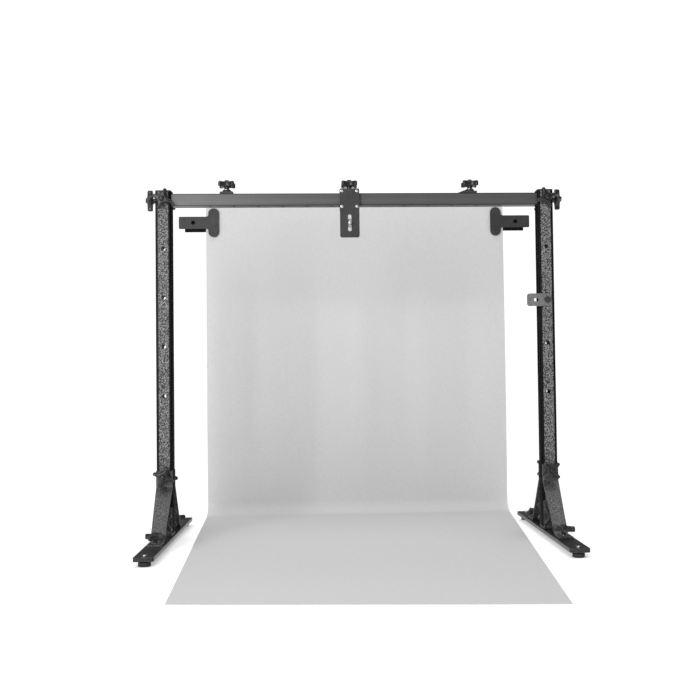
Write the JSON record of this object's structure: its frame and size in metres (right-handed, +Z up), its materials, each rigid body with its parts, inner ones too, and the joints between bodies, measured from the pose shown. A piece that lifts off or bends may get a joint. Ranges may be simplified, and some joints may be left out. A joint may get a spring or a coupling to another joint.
{
  "type": "tabletop background support system",
  "caption": "Tabletop shooting frame: two footed posts carry a crossbar with a sliding camera plate and swing arms, and a rear frame holds a pale background sheet that sweeps to the floor.",
  "frame": {"origin": "centre of the bounding box in plan, at floor level", "axes": "+X along the crossbar to the right of a user who stands on the -Y side, +Y toward the upright background, +Z up"},
  "size_m": [0.8756, 1.1354, 0.775],
  "materials": {
    "hammertone": "hammered dark grey powder coat",
    "dark_coated_steel": "smooth satin dark grey coating",
    "black_coated_steel": "matt black coating",
    "grey_anodised": "satin dark grey anodised",
    "zinc_plated": "bright zinc plate",
    "black_plastic": "fine satin black",
    "knob_plastic": "semi-gloss black",
    "foot_rubber": "matt black",
    "sheet_paper": "matt off-white seamless background sheet"
  },
  "bodies": {
    "stand": {"base_plate_left": "hammertone", "base_plate_right": "hammertone", "post_shoe_left": "hammertone", "post_shoe_right": "hammertone", "brace_front_left": "hammertone", "brace_rear_left": "hammertone", "brace_front_right": "hammertone", "brace_rear_right": "hammertone", "post_left": "hammertone", "post_right": "hammertone", "post_cap_left": "black_plastic", "post_cap_right": "black_plastic", "rear_upright_left": "dark_coated_steel", "rear_upright_right": "dark_coated_steel", "sheet_clamp_left": "dark_coated_steel", "sheet_clamp_right": "dark_coated_steel", "background_rail": "black_coated_steel", "background_sheet": "sheet_paper", "light_bracket_bolt": "black_plastic"},
    "crossbar_set": {"crossbar": "grey_anodised", "crossbar_plug_left": "black_plastic", "crossbar_plug_right": "black_plastic", "arm_base_left": "dark_coated_steel", "arm_base_right": "dark_coated_steel"},
    "carriage": {"carriage_block": "grey_anodised", "camera_plate": "dark_coated_steel", "plate_screw_1": "zinc_plated", "plate_screw_2": "zinc_plated", "plate_screw_3": "zinc_plated", "plate_screw_4": "zinc_plated", "camera_screw": "zinc_plated"},
    "swing_arm_left": {"swing_arm_left": "dark_coated_steel"},
    "swing_arm_right": {"swing_arm_right": "dark_coated_steel"},
    "light_bracket": {"light_bracket": "zinc_plated"},
    "knob_collar_front_left": {"knob_collar_front_left": "knob_plastic"},
    "knob_shoe_front_left": {"knob_shoe_front_left": "knob_plastic"},
    "knob_base_front_left": {"knob_base_front_left": "knob_plastic"},
    "foot_front_left": {"foot_front_left": "foot_rubber"},
    "knob_collar_rear_left": {"knob_collar_rear_left": "knob_plastic"},
    "knob_shoe_rear_left": {"knob_shoe_rear_left": "knob_plastic"},
    "knob_base_rear_left": {"knob_base_rear_left": "knob_plastic"},
    "foot_rear_left": {"foot_rear_left": "foot_rubber"},
    "knob_corner_front_left": {"knob_corner_front_left": "knob_plastic"},
    "knob_corner_rear_left": {"knob_corner_rear_left": "knob_plastic"},
    "knob_corner_side_left": {"knob_corner_side_left": "knob_plastic"},
    "arm_knob_left": {"arm_knob_left": "knob_plastic"},
    "knob_collar_front_right": {"knob_collar_front_right": "knob_plastic"},
    "knob_shoe_front_right": {"knob_shoe_front_right": "knob_plastic"},
    "knob_base_front_right": {"knob_base_front_right": "knob_plastic"},
    "foot_front_right": {"foot_front_right": "foot_rubber"},
    "knob_collar_rear_right": {"knob_collar_rear_right": "knob_plastic"},
    "knob_shoe_rear_right": {"knob_shoe_rear_right": "knob_plastic"},
    "knob_base_rear_right": {"knob_base_rear_right": "knob_plastic"},
    "foot_rear_right": {"foot_rear_right": "foot_rubber"},
    "knob_corner_front_right": {"knob_corner_front_right": "knob_plastic"},
    "knob_corner_rear_right": {"knob_corner_rear_right": "knob_plastic"},
    "knob_corner_side_right": {"knob_corner_side_right": "knob_plastic"},
    "arm_knob_right": {"arm_knob_right": "knob_plastic"},
    "carriage_knob": {"carriage_knob": "knob_plastic"}
  },
  "joints": [
    {"name": "crossbar_height", "type": "slide", "parent": "stand", "child": "crossbar_set", "axis": [0, 0, 1], "range_m": [-0.4, 0]},
    {"name": "carriage_slide", "type": "slide", "parent": "crossbar_set", "child": "carriage", "axis": [1, 0, 0], "range_m": [-0.165, 0.165]},
    {"name": "swing_arm_left_pivot", "type": "hinge", "parent": "crossbar_set", "child": "swing_arm_left", "pos_m": [-0.27225, 0.0323, 0.719], "axis": [0, 0, 1], "range_deg": [-30, 90]},
    {"name": "swing_arm_right_pivot", "type": "hinge", "parent": "crossbar_set", "child": "swing_arm_right", "pos_m": [0.23075, 0.0323, 0.719], "axis": [0, 0, 1], "range_deg": [-110, 10]},
    {"name": "light_bracket_pivot", "type": "hinge", "parent": "stand", "child": "light_bracket", "pos_m": [0.38575, 0.014, 0.489], "axis": [0, -1, 0], "range_deg": [-90, 90]},
    {"name": "knob_collar_front_left_turn", "type": "hinge", "parent": "stand", "child": "knob_collar_front_left", "pos_m": [-0.40025, 0.012, 0.138], "axis": [0, -1, 0], "continuous": true},
    {"name": "knob_shoe_front_left_turn", "type": "hinge", "parent": "stand", "child": "knob_shoe_front_left", "pos_m": [-0.40025, 0.012, 0.047], "axis": [0, -1, 0], "continuous": true},
    {"name": "knob_base_front_left_turn", "type": "hinge", "parent": "stand", "child": "knob_base_front_left", "pos_m": [-0.40025, -0.0937, 0.0223], "axis": [0, 0, 1], "continuous": true},
    {"name": "foot_front_left_turn", "type": "hinge", "parent": "stand", "child": "foot_front_left", "pos_m": [-0.40025, -0.2027, 0], "axis": [0, 0, 1], "continuous": true},
    {"name": "knob_collar_rear_left_turn", "type": "hinge", "parent": "stand", "child": "knob_collar_rear_left", "pos_m": [-0.40025, 0.0526, 0.138], "axis": [0, 1, 0], "continuous": true},
    {"name": "knob_shoe_rear_left_turn", "type": "hinge", "parent": "stand", "child": "knob_shoe_rear_left", "pos_m": [-0.40025, 0.0526, 0.047], "axis": [0, 1, 0], "continuous": true},
    {"name": "knob_base_rear_left_turn", "type": "hinge", "parent": "stand", "child": "knob_base_rear_left", "pos_m": [-0.40025, 0.1583, 0.0223], "axis": [0, 0, 1], "continuous": true},
    {"name": "foot_rear_left_turn", "type": "hinge", "parent": "stand", "child": "foot_rear_left", "pos_m": [-0.40025, 0.2673, 0], "axis": [0, 0, 1], "continuous": true},
    {"name": "knob_corner_front_left_turn", "type": "hinge", "parent": "stand", "child": "knob_corner_front_left", "pos_m": [-0.40025, 0.0163, 0.7], "axis": [0, -1, 0], "continuous": true},
    {"name": "knob_corner_rear_left_turn", "type": "hinge", "parent": "stand", "child": "knob_corner_rear_left", "pos_m": [-0.40025, 0.0483, 0.7], "axis": [0, 1, 0], "continuous": true},
    {"name": "knob_corner_side_left_turn", "type": "hinge", "parent": "crossbar_set", "child": "knob_corner_side_left", "pos_m": [-0.41625, 0.0323, 0.7], "axis": [-1, 0, 0], "continuous": true},
    {"name": "arm_knob_left_turn", "type": "hinge", "parent": "crossbar_set", "child": "arm_knob_left", "pos_m": [-0.27225, 0.0323, 0.721], "axis": [0, 0, 1], "continuous": true},
    {"name": "knob_collar_front_right_turn", "type": "hinge", "parent": "stand", "child": "knob_collar_front_right", "pos_m": [0.38575, 0.012, 0.138], "axis": [0, -1, 0], "continuous": true},
    {"name": "knob_shoe_front_right_turn", "type": "hinge", "parent": "stand", "child": "knob_shoe_front_right", "pos_m": [0.38575, 0.012, 0.047], "axis": [0, -1, 0], "continuous": true},
    {"name": "knob_base_front_right_turn", "type": "hinge", "parent": "stand", "child": "knob_base_front_right", "pos_m": [0.38575, -0.0937, 0.0223], "axis": [0, 0, 1], "continuous": true},
    {"name": "foot_front_right_turn", "type": "hinge", "parent": "stand", "child": "foot_front_right", "pos_m": [0.38575, -0.2027, 0], "axis": [0, 0, 1], "continuous": true},
    {"name": "knob_collar_rear_right_turn", "type": "hinge", "parent": "stand", "child": "knob_collar_rear_right", "pos_m": [0.38575, 0.0526, 0.138], "axis": [0, 1, 0], "continuous": true},
    {"name": "knob_shoe_rear_right_turn", "type": "hinge", "parent": "stand", "child": "knob_shoe_rear_right", "pos_m": [0.38575, 0.0526, 0.047], "axis": [0, 1, 0], "continuous": true},
    {"name": "knob_base_rear_right_turn", "type": "hinge", "parent": "stand", "child": "knob_base_rear_right", "pos_m": [0.38575, 0.1583, 0.0223], "axis": [0, 0, 1], "continuous": true},
    {"name": "foot_rear_right_turn", "type": "hinge", "parent": "stand", "child": "foot_rear_right", "pos_m": [0.38575, 0.2673, 0], "axis": [0, 0, 1], "continuous": true},
    {"name": "knob_corner_front_right_turn", "type": "hinge", "parent": "stand", "child": "knob_corner_front_right", "pos_m": [0.38575, 0.0163, 0.7], "axis": [0, -1, 0], "continuous": true},
    {"name": "knob_corner_rear_right_turn", "type": "hinge", "parent": "stand", "child": "knob_corner_rear_right", "pos_m": [0.38575, 0.0483, 0.7], "axis": [0, 1, 0], "continuous": true},
    {"name": "knob_corner_side_right_turn", "type": "hinge", "parent": "crossbar_set", "child": "knob_corner_side_right", "pos_m": [0.40175, 0.0323, 0.7], "axis": [1, 0, 0], "continuous": true},
    {"name": "arm_knob_right_turn", "type": "hinge", "parent": "crossbar_set", "child": "arm_knob_right", "pos_m": [0.23075, 0.0323, 0.721], "axis": [0, 0, 1], "continuous": true},
    {"name": "carriage_knob_turn", "type": "hinge", "parent": "carriage", "child": "carriage_knob", "pos_m": [-0.02025, 0.0323, 0.721], "axis": [0, 0, 1], "continuous": true}
  ]
}
